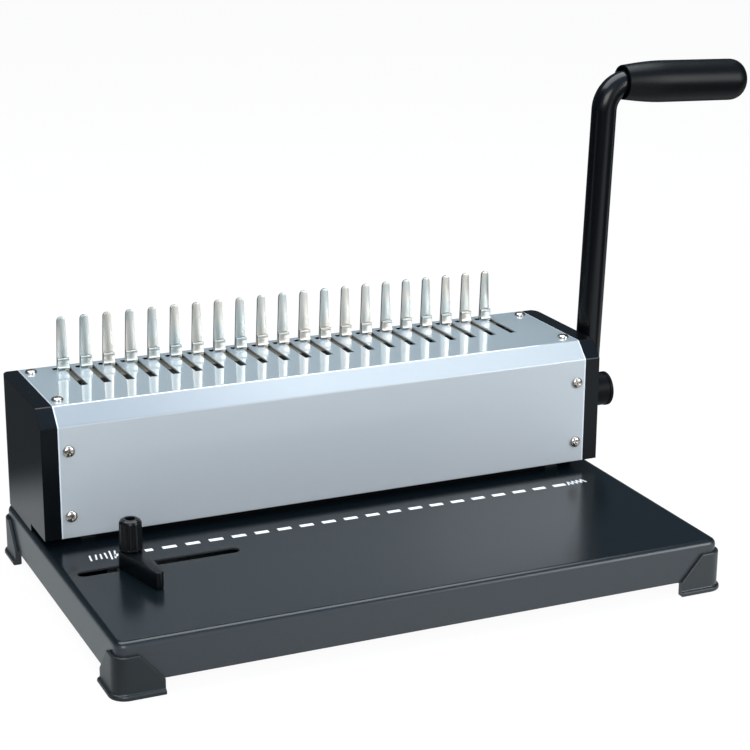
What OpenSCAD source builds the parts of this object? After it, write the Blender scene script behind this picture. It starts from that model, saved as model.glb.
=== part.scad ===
// Comb binding machine: a 21-hole hand punch and comb opener on a steel base.
// Millimetres. +X is to the operator's right, +Y away from the operator, +Z up.
// The origin is on the floor, under the middle of the machine's overall box.

/* [Base] */
// Width of the base tray
base_w = 367; // [360:1:380]
// Depth of the base tray, front to back
base_d = 225; // [222:1:240]
// Height of the paper bed above the floor
bed_z = 31.2; // [30:0.2:36]
// Height of the skirt that hangs from the bed
skirt_h = 23; // [21:0.5:26]
// Sheet thickness of the base tray
tray_wall = 1.2; // [1:0.1:1.6]
// Radius of the upright corners of the tray
tray_corner_r = 6; // [5:0.5:10]
// Radius of the rolled edge between bed and skirt
tray_edge_r = 3.5; // [2:0.25:4]
// Thickness of the plate that closes the tray from below
bottom_plate_t = 1.2; // [1:0.1:1.6]

/* [Feet] */
// Length of a foot along each skirt, from the corner
foot_len = 25.5; // [20:0.5:32]
// Level part of the top of a foot, from the corner
foot_top_len = 12; // [8:1:16]
// Height of a foot at the corner
foot_h = 24; // [21:0.5:28]
// How far a foot stands out from the skirt
foot_wall = 2; // [1.5:0.1:3]
// How far the bead round the sole stands out from the skirt
foot_bead = 3.6; // [3:0.1:5]
// Height of the bead round the sole
foot_bead_h = 3; // [2:0.2:5]

/* [Housing] */
// How far the housing stands out behind the tray
housing_back = 3.6; // [0:0.1:6]
// Depth of the housing, front to back
housing_d = 88; // [86:1:95]
// Height of the housing above the paper bed
housing_h = 82.6; // [82:0.2:88]
// Length of the silver cover
cover_w = 344; // [340:1:350]
// Sheet thickness of the covers
cover_t = 1.2; // [1:0.1:1.5]
// Chamfer along the top front edge
chamfer = 10; // [8:0.5:12]
// Outside radius of the bends in the cover
bend_r = 2; // [1.6:0.1:3]
// Height of the cover's lip below the rear top edge
rear_lip = 14; // [10:0.5:18]
// How far an end cap stands out past the cover
cap_w = 10; // [9:0.5:14]
// Radius of an end cap's rear upright corner
cap_corner_r = 8; // [4:0.5:9]
// Wall thickness of the end caps
cap_wall = 2.4; // [2:0.1:3]
// How far an end cap reaches in under the cover
spigot_len = 10.2; // [9.5:0.1:10.6]

/* [Punch] */
// Height of the slot that takes the paper
throat_h = 4.9; // [4.5:0.1:6]
// Distance of the row of holes from the housing's front
punch_y = 15.5; // [15:0.25:17]
// Number of holes, pins, fingers and hooks
hole_count = 21; // [15:1:21]
// Distance between holes
pitch = 14.2875; // [14:0.0125:14.5]
// Where the middle hole lies, left or right of the middle of the base
comb_x = -1.5; // [-1.5:0.5:1]
// Length of a punched hole
pin_w = 8; // [7:0.1:8.5]
// Width of a punched hole
pin_d = 3; // [2.5:0.1:3.2]
// Thickness of the die plate
die_t = 5; // [4:0.5:6]
// Thickness of the plate that guides the pins
guide_plate_t = 5; // [4:0.5:6]
// Width of the die plate and the guide plate, front to back
die_w = 14; // [13:0.5:15]
// Distance of the paper stop behind the row of holes
stop_margin = 5; // [4:0.25:6]
// Height of the punch bar
punch_bar_h = 16; // [14:0.5:17]
// Thickness of the punch bar, front to back
punch_bar_d = 10; // [9:0.5:10.5]
// Radius of the posts that the punch bar runs on
post_r = 2.5; // [2:0.1:2.7]

/* [Drive] */
// Height of the drive shaft above the floor
shaft_z = 70; // [69:0.25:72]
// Distance of the drive shaft from the housing's front
shaft_y = 35.5; // [34.5:0.25:37]
// Radius of the drive shaft
shaft_r = 6; // [5:0.25:6.5]
// Running clearance on the radius
run_gap = 0.05; // [0.02:0.01:0.09]
// Tooth size of all gears (module)
gear_m = 1.25; // [1.25:0.05:1.3]
// Teeth of a punch pinion
punch_teeth = 16; // [16:1:16]
// Teeth of an opener pinion
opener_teeth = 34; // [34:1:34]
// Backlash between pinion and rack
backlash = 0.2; // [0.1:0.05:0.3]
// Face width of a punch pinion
punch_face = 5; // [4:0.5:5.5]
// Face width of an opener pinion
opener_face = 4; // [3:0.5:4.5]
// Turn of the handle, in degrees
handle_turn = 75; // [60:1:78]

/* [Comb opener] */
// Height of the fingers above the cover
finger_h = 32.4; // [28:0.4:36]
// Width of a finger at the cover
finger_w = 7.2; // [6:0.1:7.5]
// Width of a finger below its round tip
finger_tip_w = 5; // [4:0.1:6]
// Thickness of a finger
finger_t = 1.6; // [1.2:0.1:1.8]
// Backward lean of the fingers, in degrees
finger_lean = 0.5; // [0:0.5:8]
// Distance of the fingers from the housing's rear
finger_back = 9.6; // [9:0.1:11]
// Width of a slot in the cover
slot_w = 4.7; // [4.3:0.1:5]
// Length of a slot in the cover
slot_len = 42.8; // [42:0.2:44]
// Height of a hook above the cover
hook_h = 7; // [4:0.2:8]
// Width of a hook's head
hook_w = 7; // [6.4:0.1:7.6]
// Thickness of a hook and of the opener plate
hook_t = 1.5; // [1.2:0.1:1.8]

/* [Handle] */
// Outside radius of the arm's tube
tube_r = 8; // [7:0.25:9]
// Wall of the arm's tube
tube_wall = 1.5; // [1:0.1:2]
// Height of the grip's axis above the shaft, along the arm
arm_len = 202.8; // [180:1:230]
// Bend radius of the arm, at the middle of the tube
arm_bend_r = 17; // [16.5:0.5:24]
// Outward lean of the arm, in degrees
arm_lean = 1.95; // [0:0.05:4]
// Distance of the grip's end from the arm
grip_reach = 102.3; // [95:0.1:120]
// Largest radius of the grip
grip_r = 13.3; // [12:0.1:16]
// Radius of the hub
hub_r = 10.75; // [10:0.25:13]
// Length of the hub
hub_len = 25; // [22:0.5:30]
// Gap between the end cap and the hub
hub_gap = 1.5; // [1:0.25:3]

/* [Edge guide] */
// Distance of the guide's slot from the front of the tray
guide_y = 97.8; // [90:0.5:100]
// Distance of the slot's left end from the left side of the tray
guide_slot_x = 8; // [6:0.5:12]
// Length of the slot
guide_slot_len = 96; // [80:0.5:100]
// Width of the slot
guide_slot_w = 8; // [6:0.1:9]
// Distance of the knob from the left end of the slot
guide_rest = 31.4; // [24:0.2:60]
// Height of the guide's arm
guide_h = 9.8; // [7:0.1:12]
// Distance of the guide's round nose from the knob
guide_reach = 35.3; // [30:0.1:45]
// Radius of the guide round the knob
guide_boss_r = 7.2; // [6.5:0.1:9]
// Radius of the guide's nose
guide_nose_r = 2.9; // [2:0.1:4]
// Height of the knob
knob_h = 18.4; // [16:0.2:26]
// Radius of the knob at its foot
knob_r = 6.7; // [6.5:0.1:7.1]
// Number of flutes round the knob
knob_flutes = 12; // [8:1:16]

/* [Chip drawer] */
// Inside width of the drawer's bay, front to back
drawer_w = 32; // [28:1:36]
// Height of the drawer
drawer_h = 12.4; // [10:0.2:13]
// Wall of the drawer
drawer_wall = 1.6; // [1.2:0.1:2]
// Length of the drawer inside the base
drawer_len = 330; // [300:5:335]

/* [Hidden] */
$fn = 48;
eps = 0.01;

// Colours, as painted or plated
black_paint = "#1f2326";
black_plastic = "#17191b";
silver_paint = "#b2bac0";
plated = "#d7d4cb";
tool_steel = "#9a9c9e";
brass_bush = "#b08d4a";

// Clearances
seat_gap = 0.3;     // between pieces on different bodies that lie flat together
fit_gap = 0.05;     // round a pin or shaft that is fixed in its hole

// Base
skirt_z = bed_z - skirt_h;
tray_top_z = bed_z - tray_wall;
floor_z = skirt_z + bottom_plate_t;

// Housing, in its own section plane
rear_y = base_d / 2 + housing_back;
front_y = rear_y - housing_d;
top_z = bed_z + housing_h;
throat_z = bed_z + throat_h;
sill_y = front_y + 31.5;                     // where the end caps come down to the bed
cover_x = cover_w / 2;
cap_x = cover_x + cap_w;
frame_t = 2.5;
frame_x = cover_x - spigot_len - 0.8;        // outer face of a side frame
inner_x = frame_x - frame_t;                 // inner face of a side frame
HOUSING = [
    [front_y, throat_z], [front_y, top_z - chamfer], [front_y + chamfer, top_z],
    [rear_y, top_z], [rear_y, bed_z], [sill_y, bed_z], [sill_y, throat_z]
];
HOUSING_R = [0.5, bend_r, bend_r, bend_r, 0.5, 0, 0];

// Punch
pin_y = front_y + punch_y;
plate_y = pin_y - die_w / 2;
guide_top_z = throat_z + guide_plate_t;
punch_r = gear_m * punch_teeth / 2;
opener_r = gear_m * opener_teeth / 2;
punch_stroke = punch_r * handle_turn * PI / 180;
opener_stroke = opener_r * handle_turn * PI / 180;
pin_tip_z = bed_z + 7.3;
punch_bar_z = guide_top_z + punch_stroke + 1.8;
row_half = (hole_count - 1) / 2 * pitch;
die_x = row_half + 9;                        // half length of the die plate
punch_bar_x = row_half + 4.9;                // half length of the punch bar
post_x = 7.5 * pitch;
spring_x = 3.5 * pitch;
rail_z = 100;
rail_t = 4;

// Return springs
wire_r = 0.6;
coil_r = 3.6;
coils = 11;
spring_low = punch_bar_z + punch_bar_h;

// Drive
axis_y = front_y + shaft_y;
addendum = 0.9 * gear_m;
dedendum = 1.15 * gear_m;
tooth_pitch = PI * gear_m;
punch_gear_x = 140;                          // inner face of a punch pinion
opener_gear_x = 149.8;                       // inner face of an opener pinion
bush_r = shaft_r + 2;
boss_r = shaft_r + 3;
shaft_left = inner_x + 9.5;
cap_hole_r = shaft_r + 1;

// Comb opener
comb_back_y = rear_y - finger_back;          // front face of the fingers
plate_z = top_z - cover_t - 0.5 - hook_t;    // underside of the opener plate
plate_rear_y = comb_back_y - 0.7;
plate_front_y = plate_rear_y - 19.7;
finger_x = -1.75;                            // a finger's middle, from its hole
slot_x = -1.35;                              // a slot's left edge, from its hole
slot_rear_y = rear_y - 3;
slot_y = slot_rear_y - slot_len;
notch_w = 2.4;                               // gap in the cover beside a finger
opener_rack_z = shaft_z + opener_r;          // pitch line of the opener racks
punch_rack_y = axis_y - punch_r;             // pitch line of the punch racks
rack_back = 4.2;                             // metal behind the roots of a rack

// Handle
arm_x = cap_x + hub_gap + 9.4;               // where the arm's axis crosses the shaft's
hub_x = cap_x + hub_gap;
mouth_in = 5;                                // how far the grip's mouth overlaps the bend
grip_mouth = arm_bend_r - mouth_in;
tube_reach = grip_reach - 14;                // where the tube ends inside the grip
dome_len = 11;                               // length of the grip's round end
mouth_bore = arm_bend_r - sqrt(pow(arm_bend_r - tube_r, 2) - pow(mouth_in, 2)) + 0.2;
mouth_r = mouth_bore + 1.2;
grip_end_x = arm_x + grip_reach * cos(arm_lean) + arm_len * sin(arm_lean);

// The overall box reaches from the left feet's beads to the end of the grip
box_shift = (grip_end_x - base_w / 2 - foot_bead) / 2;

// Edge guide
slot_line_y = guide_y - base_d / 2;
knob_x = guide_slot_x - base_w / 2 + guide_rest;
guide_z = bed_z + seat_gap;
knob_z = guide_z + guide_h + seat_gap;
stud_r = 2;

// Drawer
bay_y = pin_y;
drawer_z = floor_z + seat_gap;
drawer_left = drawer_len - base_w / 2;

// Screws
foot_screw_in = 13;                          // from the corner of the tray to a foot's screw
foot_screw_r = 1.75;
foot_screw_z = 4;                            // seat of its head above the floor
frame_screw_r = 1.75;
frame_screw_x = inner_x - 10;
frame_screw_y = [rear_y - 40, rear_y - 16];
cover_screw_r = 1.5;
cover_screw_len = 6;
screw_in = 6;                                // from the cover's end to its screws
screw_top_y = [front_y + 19.8, rear_y - 10.2];
screw_front_z = [bed_z + 18.3, top_z - 24.8];

// ---------------------------------------------------------------- helpers

// Colour a piece and bring it from the base's middle to the machine's origin
module piece(colour) color(colour) translate([-box_shift, 0, 0]) children();

// Extrude a section drawn in the Y-Z plane from x0 to x1
module along_x(x0, x1)
    translate([x0, 0, 0]) rotate([90, 0, 90]) linear_extrude(x1 - x0) children();

// Extrude a shape drawn in the X-Z plane towards +Y, from y0 to y1
module along_y(y0, y1)
    translate([0, y1, 0]) rotate([90, 0, 0]) linear_extrude(y1 - y0) children();

// Cylinder along X between two stations
module rod_x(x0, x1, r)
    translate([x0, axis_y, shaft_z]) rotate([0, 90, 0]) cylinder(h = x1 - x0, r = r);

module block(low, high) translate(low) cube(high - low);

// Draw a left or a right copy
module on_left() mirror([1, 0, 0]) children();

// Put one copy at each hole of the comb
module at_each_hole()
    for (i = [0 : hole_count - 1])
        translate([comb_x - row_half + i * pitch, 0, 0]) children();

// Centred rectangle with round corners
module rounded_rect(w, d, r) {
    square([w - 2 * r, d], center = true);
    square([w, d - 2 * r], center = true);
    for (sx = [-1, 1], sy = [-1, 1])
        translate([sx * (w / 2 - r), sy * (d / 2 - r)]) circle(r);
}

// Slot along X between two end points
module long_slot(x0, x1, w) {
    translate([x0 + w / 2, -w / 2]) square([x1 - x0 - w, w]);
    translate([x0 + w / 2, 0]) circle(w / 2);
    translate([x1 - w / 2, 0]) circle(w / 2);
}

function unit(v) = v / norm(v);
function left_of(d) = [-d[1], d[0]];
function cross2(a, b) = a[0] * b[1] - a[1] * b[0];

// Arc that rounds the corner b between a and c, or the corner itself where r is 0
function corner(a, b, c, r, steps = 5) =
    let (d1 = unit(b - a), d2 = unit(c - b),
         turn = atan2(cross2(d1, d2), d1 * d2),
         side = sign(turn),
         from = b - d1 * r * tan(abs(turn) / 2),
         centre = from + side * r * left_of(d1),
         start = atan2(from[1] - centre[1], from[0] - centre[0]))
    r < 0.05 ? [b]
             : [for (k = [0 : steps]) centre + r * [cos(start + turn * k / steps),
                                                    sin(start + turn * k / steps)]];

function loop_at(p, i) = p[(i + len(p)) % len(p)];

// Closed outline with each corner rounded
function rounded(p, r) =
    [for (i = [0 : len(p) - 1])
        each corner(loop_at(p, i - 1), p[i], loop_at(p, i + 1), r[i])];

// Corner of a clockwise outline moved inwards by t
function inner_corner(a, b, c, t) =
    let (n1 = -left_of(unit(b - a)), n2 = -left_of(unit(c - b)))
    b + t * (n1 + n2) / (1 + n1 * n2);

function inset_points(p, t) =
    [for (i = [0 : len(p) - 1]) inner_corner(loop_at(p, i - 1), p[i], loop_at(p, i + 1), t)];

// The housing's section, moved inwards by t
module housing_section(t = 0)
    polygon(rounded(inset_points(HOUSING, t),
                    [for (r = HOUSING_R) r > t ? r - t : 0]));

// ------------------------------------------------------------------ gears

function involute(a) = tan(a) * 180 / PI - a;

// Half angle of a tooth at radius q
function tooth_half(teeth, q) =
    let (r = gear_m * teeth / 2, base = r * cos(20))
    90 / teeth - backlash / 4 / r * 180 / PI + involute(20)
        - (q > base ? involute(acos(base / q)) : 0);

// Gear outline with one tooth pointing along +X
module gear_outline(teeth) {
    r = gear_m * teeth / 2;
    steps = [0, 0.35, 0.7, 1];
    low = r - dedendum;
    radii = [for (s = steps) low + s * (dedendum + addendum)];
    polygon([for (k = [0 : teeth - 1])
        each concat(
            [for (q = radii) let (a = k * 360 / teeth - tooth_half(teeth, q))
                q * [cos(a), sin(a)]],
            [for (i = [3 : -1 : 0])
                let (q = radii[i], a = k * 360 / teeth + tooth_half(teeth, q))
                q * [cos(a), sin(a)]])]);
}

// Rack outline: teeth point along +Y and a gap is centred on x = 0
module rack_outline(first, last) {
    half = tooth_pitch / 4 - backlash / 4;
    tip = half - addendum * tan(20);
    root = half + dedendum * tan(20);
    polygon(concat(
        [[first * tooth_pitch, -dedendum - rack_back], [first * tooth_pitch, -dedendum]],
        [for (k = [first : last], side = [0 : 3])
            let (mid = (k + 0.5) * tooth_pitch)
            [mid + [-root, -tip, tip, root][side],
             [-dedendum, addendum, addendum, -dedendum][side]]],
        [[(last + 1) * tooth_pitch, -dedendum], [(last + 1) * tooth_pitch, -dedendum - rack_back]]));
}

// ------------------------------------------------------------------- base

// Tray-shaped solid with round upright corners and a rolled top edge
module rolled_slab(w, d, h, r, edge) {
    linear_extrude(h - edge) rounded_rect(w, d, r);
    linear_extrude(h) rounded_rect(w - 2 * edge, d - 2 * edge, r - edge);
    translate([0, 0, h - edge]) {
        for (s = [-1, 1]) {
            translate([-(w / 2 - r), s * (d / 2 - edge), 0]) rotate([0, 90, 0])
                cylinder(h = w - 2 * r, r = edge);
            translate([s * (w / 2 - edge), d / 2 - r, 0]) rotate([90, 0, 0])
                cylinder(h = d - 2 * r, r = edge);
        }
        for (sx = [-1, 1], sy = [-1, 1])
            translate([sx * (w / 2 - r), sy * (d / 2 - r), 0])
                rotate_extrude() intersection() {
                    translate([r - edge, 0]) circle(edge);
                    translate([0, -edge]) square([r, 2 * edge]);
                }
    }
}

module base_tray() piece(black_paint) difference() {
    translate([0, 0, skirt_z])
        rolled_slab(base_w, base_d, skirt_h, tray_corner_r, tray_edge_r);
    translate([0, 0, skirt_z - 1])
        rolled_slab(base_w - 2 * tray_wall, base_d - 2 * tray_wall, skirt_h - tray_wall + 1,
                    tray_corner_r - tray_wall, tray_edge_r - tray_wall);
    // window that the die stands in
    block([-die_x - fit_gap, plate_y - fit_gap, tray_top_z - 1],
          [die_x + fit_gap, plate_y + die_w + fit_gap, bed_z + 1]);
    // slot of the edge guide
    translate([0, slot_line_y, tray_top_z - 1]) linear_extrude(tray_wall + 2)
        long_slot(guide_slot_x - base_w / 2, guide_slot_x - base_w / 2 + guide_slot_len,
                  guide_slot_w);
    // mouth of the chip drawer's bay
    block([base_w / 2 - tray_wall - 1, bay_y - drawer_w / 2, skirt_z - 1],
          [base_w / 2 + 1, bay_y + drawer_w / 2, drawer_z + drawer_h + seat_gap]);
    for (s = [-1, 1], y = frame_screw_y)
        translate([s * frame_screw_x, y, tray_top_z - 1])
            cylinder(h = tray_wall + 2, r = frame_screw_r + fit_gap);
}

module at_feet() for (sx = [-1, 1], sy = [-1, 1])
    translate([sx * (base_w / 2 - foot_screw_in), sy * (base_d / 2 - foot_screw_in), 0])
        children();

module bottom_plate() piece(black_paint) difference() {
    translate([0, 0, skirt_z]) linear_extrude(bottom_plate_t)
        rounded_rect(base_w - 2 * tray_wall - 0.4, base_d - 2 * tray_wall - 0.4,
                     tray_corner_r - tray_wall - 0.2);
    at_feet() translate([0, 0, skirt_z - 1]) cylinder(h = bottom_plate_t + 2, r = foot_screw_r + fit_gap);
}

// One foot, for the rear right corner. It wraps the corner and carries the skirt.
module foot() {
    reach = foot_wall + foot_bead;
    difference() {
        intersection() {
            union() {
                linear_extrude(foot_h)
                    rounded_rect(base_w + 2 * foot_wall, base_d + 2 * foot_wall,
                                 tray_corner_r + foot_wall);
                linear_extrude(foot_bead_h)
                    rounded_rect(base_w + 2 * foot_bead, base_d + 2 * foot_bead,
                                 tray_corner_r + foot_bead);
            }
            along_y(0, base_d / 2 + reach)
                foot_side(base_w / 2);
            along_x(0, base_w / 2 + reach)
                foot_side(base_d / 2);
        }
        translate([0, 0, skirt_z]) linear_extrude(foot_h)
            rounded_rect(base_w, base_d, tray_corner_r);
        translate([base_w / 2 - foot_screw_in, base_d / 2 - foot_screw_in, -1]) {
            cylinder(h = foot_h, r = foot_screw_r + fit_gap);
            cylinder(h = 1 + foot_screw_z, r = 4);
        }
    }
}

// Side view of a foot: level top, slant, upright end
module foot_side(edge)
    polygon([[edge - foot_len, 0], [edge + foot_bead + 1, 0], [edge + foot_bead + 1, foot_h],
             [edge - foot_top_len, foot_h], [edge - foot_len, skirt_z + 0.4]]);

module foot_rear_right() piece(black_plastic) foot();
module foot_rear_left() piece(black_plastic) on_left() foot();
module foot_front_right() piece(black_plastic) mirror([0, 1, 0]) foot();
module foot_front_left() piece(black_plastic) mirror([0, 1, 0]) on_left() foot();

// Pan-head screw along +Z, with its head's seat at z = 0 and a cross recess
module pan_screw(r, head_r, head_h, len) difference() {
    union() {
        rotate_extrude() polygon(concat(
            [[0, 0], [head_r, 0]],
            [for (a = [0 : 15 : 90]) [head_r * cos(a) * (1 - 0.12 * sin(a)),
                                      head_h * (0.3 + 0.7 * sin(a))]]));
        translate([0, 0, -len]) cylinder(h = len + eps, r = r);
    }
    for (a = [0, 90]) rotate([0, 0, a])
        translate([-head_r * 0.5, -head_r * 0.11, head_h * 0.45])
            cube([head_r, head_r * 0.22, head_h]);
}

module foot_screws() piece(plated)
    at_feet() translate([0, 0, foot_screw_z]) mirror([0, 0, 1])
        pan_screw(foot_screw_r, 3.4, 2.4, 7);

module drawer_runners() piece(plated) for (s = [-1, 1])
    translate([0, bay_y + s * (drawer_w / 2 + 0.6), 0])
        block([-drawer_left, -0.6, floor_z], [base_w / 2 - tray_wall - 1, 0.6, floor_z + 6]);

// ------------------------------------------------------------------ punch

module die_plate() piece(tool_steel) difference() {
    union() {
        block([-die_x, plate_y, tray_top_z - eps], [die_x, plate_y + die_w, bed_z]);
        block([-die_x - 3, plate_y - 3, bed_z - die_t],
              [die_x + 3, plate_y + die_w + 3, tray_top_z]);
    }
    at_each_hole() block([-pin_w / 2 - run_gap, pin_y - pin_d / 2 - run_gap, bed_z - die_t - 1],
                         [pin_w / 2 + run_gap, pin_y + pin_d / 2 + run_gap, bed_z + 1]);
}

module die_spacers() piece(tool_steel) for (s = [-1, 1])
    translate([s * (inner_x + die_x - 2) / 2, 0, 0])
        block([-(inner_x - die_x + 2) / 2, plate_y, bed_z],
              [(inner_x - die_x + 2) / 2, plate_y + die_w, throat_z]);

module paper_stop() piece(tool_steel)
    block([-die_x + 2.2, pin_y + stop_margin, bed_z],
          [die_x - 2.2, pin_y + stop_margin + 3, throat_z]);

module punch_guide_plate() piece(tool_steel) difference() {
    block([-inner_x, plate_y, throat_z], [inner_x, plate_y + die_w, guide_top_z]);
    at_each_hole() block([-pin_w / 2 - run_gap, pin_y - pin_d / 2 - run_gap, throat_z - 1],
                         [pin_w / 2 + run_gap, pin_y + pin_d / 2 + run_gap, guide_top_z + 1]);
}

module punch_bar() piece(tool_steel) difference() {
    translate([comb_x, 0, 0])
        block([-punch_bar_x, pin_y - punch_bar_d / 2, punch_bar_z],
              [punch_bar_x, pin_y + punch_bar_d / 2, punch_bar_z + punch_bar_h]);
    for (s = [-1, 1]) {
        translate([comb_x + s * post_x, pin_y, 0])
            cylinder(h = rail_z, r = post_r + run_gap);
        translate([comb_x + s * spring_x, pin_y, punch_bar_z + punch_bar_h - 3])
            cylinder(h = 4, r = wire_r + 0.5);
    }
}

// The pins have a hollow-ground tip, so that they cut from both ends inwards
module punch_pins() piece(plated) at_each_hole()
    along_y(pin_y - pin_d / 2, pin_y + pin_d / 2)
        polygon([[-pin_w / 2, pin_tip_z], [0, pin_tip_z + 1], [pin_w / 2, pin_tip_z],
                 [pin_w / 2, punch_bar_z], [-pin_w / 2, punch_bar_z]]);

// Rack bolted to the back of the punch bar, in front of the shaft
module punch_rack() along_x(punch_gear_x, punch_gear_x + punch_face) {
    translate([punch_rack_y, shaft_z]) punch_rack_section();
}

module punch_rack_section() {
    back = pin_y + punch_bar_d / 2 - punch_rack_y;
    intersection() {
        rotate(-90) mirror([1, 0, 0]) rack_outline(-1, 4);
        translate([back, -rail_z]) square([2 * rack_back, 2 * rail_z]);
    }
    translate([back, punch_bar_z + 1 - shaft_z])
        square([-dedendum - back, shaft_z - tooth_pitch - punch_bar_z]);
}

module punch_rack_right() piece(tool_steel) punch_rack();
module punch_rack_left() piece(tool_steel) on_left() punch_rack();

module upper_rail() piece(tool_steel) difference() {
    block([-inner_x, pin_y - 5, rail_z], [inner_x, pin_y + 5, rail_z + rail_t]);
    for (s = [-1, 1]) {
        translate([comb_x + s * post_x, pin_y, rail_z - 1])
            cylinder(h = rail_t + 2, r = post_r + fit_gap);
        translate([comb_x + s * spring_x, pin_y, rail_z - 1])
            cylinder(h = rail_t + 2, r = wire_r + 0.5);
    }
}

module guide_posts() piece(plated) for (s = [-1, 1])
    translate([comb_x + s * post_x, pin_y, guide_top_z])
        cylinder(h = rail_z + rail_t - guide_top_z, r = post_r);

// ---------------------------------------------------------------- springs

// Middle line of a tension spring: a straight tail, the coils and a straight tail.
// u runs from 0 to 1 over the coils; the coil radius grows and dies away in one turn.
function spring_point(u) =
    let (a = u * coils * 360,
         r = coil_r * min(1, min(u, 1 - u) * coils))
    [r * cos(a), r * sin(a), spring_low + 3 + u * (rail_z - spring_low - 6)];

SPRING_LINE = concat(
    [for (z = [-2.5, 0, 2]) [0, 0, spring_low + z]],
    [for (k = [0 : coils * 8]) spring_point(k / coils / 8)],
    [for (z = [-2, 0, 2.5]) [0, 0, rail_z + z]]);

function side_of(d) = unit(cross(d, abs(d[2]) > 0.99 ? [0, 1, 0] : [0, 0, 1]));

// Round wire swept along a line of points
module swept_wire(line, r, sides = 6) {
    last = len(line) - 1;
    rings = [for (i = [0 : last])
        let (d = unit(line[min(i + 1, last)] - line[max(i - 1, 0)]),
             u = side_of(d), v = cross(d, u))
        for (k = [0 : sides - 1])
            line[i] + r * (cos(k * 360 / sides) * u + sin(k * 360 / sides) * v)];
    walls = [for (i = [0 : last - 1], k = [0 : sides - 1])
        let (a = i * sides + k, b = i * sides + (k + 1) % sides)
        each [[a, b, a + sides], [b, b + sides, a + sides]]];
    ends = [[for (k = [sides - 1 : -1 : 0]) k], [for (k = [0 : sides - 1]) last * sides + k]];
    polyhedron(rings, concat(walls, ends));
}

module return_spring_right() piece(plated)
    translate([comb_x + spring_x, pin_y, 0]) swept_wire(SPRING_LINE, wire_r);
module return_spring_left() piece(plated)
    translate([comb_x - spring_x, pin_y, 0]) swept_wire(SPRING_LINE, wire_r);

// ------------------------------------------------------------------ frame

// Side frame with a bottom flange, for the right side
module side_frame() difference() {
    union() {
        along_x(inner_x, frame_x)
            polygon([[front_y + 2.5, throat_z + 0.5], [sill_y, throat_z + 0.5], [sill_y, bed_z],
                     [rear_y - 4.5, bed_z], [rear_y - 4.5, top_z - 3],
                     [front_y + chamfer + 1.5, top_z - 3], [front_y + 2.5, top_z - chamfer - 2]]);
        block([inner_x - 16, frame_screw_y[0] - 7, bed_z],
              [inner_x + eps, frame_screw_y[1] + 7, bed_z + frame_t]);
    }
    rod_x(inner_x - 1, frame_x + 1, bush_r + fit_gap);
    for (y = frame_screw_y)
        translate([frame_screw_x, y, bed_z - 1])
            cylinder(h = frame_t + 2, r = frame_screw_r + fit_gap);
}

module side_frame_right() piece(tool_steel) side_frame();
module side_frame_left() piece(tool_steel) on_left() side_frame();

module frame_screws() piece(plated) for (s = [-1, 1], y = frame_screw_y)
    translate([s * frame_screw_x, y, bed_z + frame_t]) pan_screw(frame_screw_r, 3.4, 2.4, 6);

// Flanged bush, pressed into a side frame from the inside
module shaft_bush() difference() {
    union() {
        rod_x(inner_x - 1.5, inner_x, bush_r + 2);
        rod_x(inner_x - eps, frame_x + 3, bush_r);
    }
    rod_x(inner_x - 3, frame_x + 5, shaft_r + run_gap);
}

module shaft_bush_right() piece(brass_bush) shaft_bush();
module shaft_bush_left() piece(brass_bush) on_left() shaft_bush();

// ------------------------------------------------------------ comb opener

module finger_bar() piece(tool_steel)
    block([-inner_x, comb_back_y + finger_t, top_z - 18],
          [inner_x, comb_back_y + finger_t + 2, top_z - 2.6]);

// Finger: a flat blade with a round tip, standing on the front of the finger bar
module finger() {
    tip_z = finger_h - finger_tip_w / 2;
    translate([finger_x, 0, 0])
        block([-finger_w / 2, comb_back_y, top_z - 16],
              [finger_w / 2, comb_back_y + finger_t, top_z + 0.6]);
    translate([finger_x, comb_back_y, top_z + 0.3]) rotate([-finger_lean, 0, 0])
        along_y(0, finger_t) {
            polygon([[-finger_w / 2, 0], [finger_w / 2, 0], [finger_tip_w / 2, tip_z],
                     [-finger_tip_w / 2, tip_z]]);
            translate([0, tip_z]) circle(finger_tip_w / 2);
        }
}

module comb_fingers() piece(plated) at_each_hole() finger();

// Two ledges on the side frames, which the opener plate runs on
module slide_rails() piece(plated) for (s = [-1, 1])
    translate([s * (inner_x - 1.85), 0, 0])
        block([-1.85, axis_y - 3, plate_z - seat_gap - 2],
              [1.85, comb_back_y - 1, plate_z - seat_gap]);

module opener_plate() piece(plated) {
    lip_right = comb_x + row_half - pitch / 2;
    block([-inner_x + 1, plate_rear_y - 8, plate_z],
          [inner_x - 1, plate_rear_y, plate_z + hook_t]);
    block([comb_x - row_half - 5, plate_front_y, plate_z],
          [lip_right, plate_rear_y - 8 + eps, plate_z + hook_t]);
}

// Hook: a stem in the slot and a head that covers the foot of the finger
module hook() {
    right = finger_x + hook_w / 2;
    left = finger_x - hook_w / 2;
    stem_left = slot_x + 0.3;
    head_z = top_z + 0.6;
    along_y(plate_rear_y - hook_t, plate_rear_y) {
        translate([stem_left, plate_z + hook_t])
            square([right - stem_left, head_z - plate_z - hook_t + eps]);
        polygon(concat(
            [[right, head_z], [left, head_z]],
            corner([left, head_z], [left, top_z + hook_h], [right, top_z + hook_h], 1.5),
            corner([left, top_z + hook_h], [right, top_z + hook_h], [right, head_z], 1.5)));
    }
}

module opener_hooks() piece(plated) at_each_hole() hook();

// Rack above the opener pinion, with a web that carries the opener plate
module opener_rack() {
    web_y = plate_rear_y - 8;
    along_x(opener_gear_x, opener_gear_x + opener_face) {
        translate([axis_y, opener_rack_z]) mirror([0, 1]) rack_outline(-1, 8);
        polygon([[web_y - 8, opener_rack_z + dedendum + 0.5],
                 [plate_rear_y, opener_rack_z + dedendum + 0.5],
                 [plate_rear_y, plate_z], [web_y, plate_z]]);
    }
}

module opener_rack_right() piece(tool_steel) opener_rack();
module opener_rack_left() piece(tool_steel) on_left() opener_rack();

// ----------------------------------------------------------------- covers

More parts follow.
